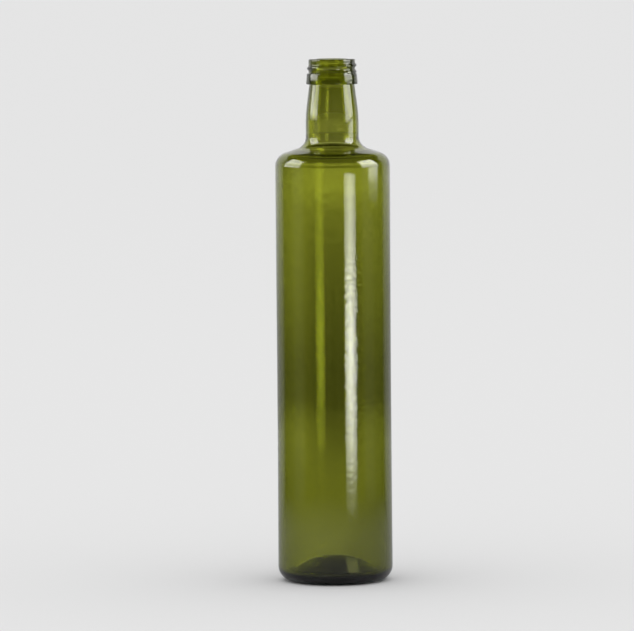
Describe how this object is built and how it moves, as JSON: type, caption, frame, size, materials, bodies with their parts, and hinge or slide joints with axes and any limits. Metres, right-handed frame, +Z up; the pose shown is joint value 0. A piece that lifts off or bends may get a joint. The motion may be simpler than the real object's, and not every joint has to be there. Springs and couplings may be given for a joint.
{
  "type": "olive oil bottle",
  "caption": "Tall round green glass bottle for olive oil, empty and open, with a straight body, sloping shoulder, tapered neck and threaded screw finish.",
  "frame": {"origin": "centre of the base, on the plane of the ring it stands on", "axes": "+Z up along the bottle's axis towards the mouth; -Y towards the viewer of the picture; +X to the viewer's right"},
  "size_m": [0.07, 0.07, 0.3185],
  "materials": {
    "green_glass": "gloss"
  },
  "bodies": {
    "root": {"bottle": "green_glass"}
  },
  "joints": []
}
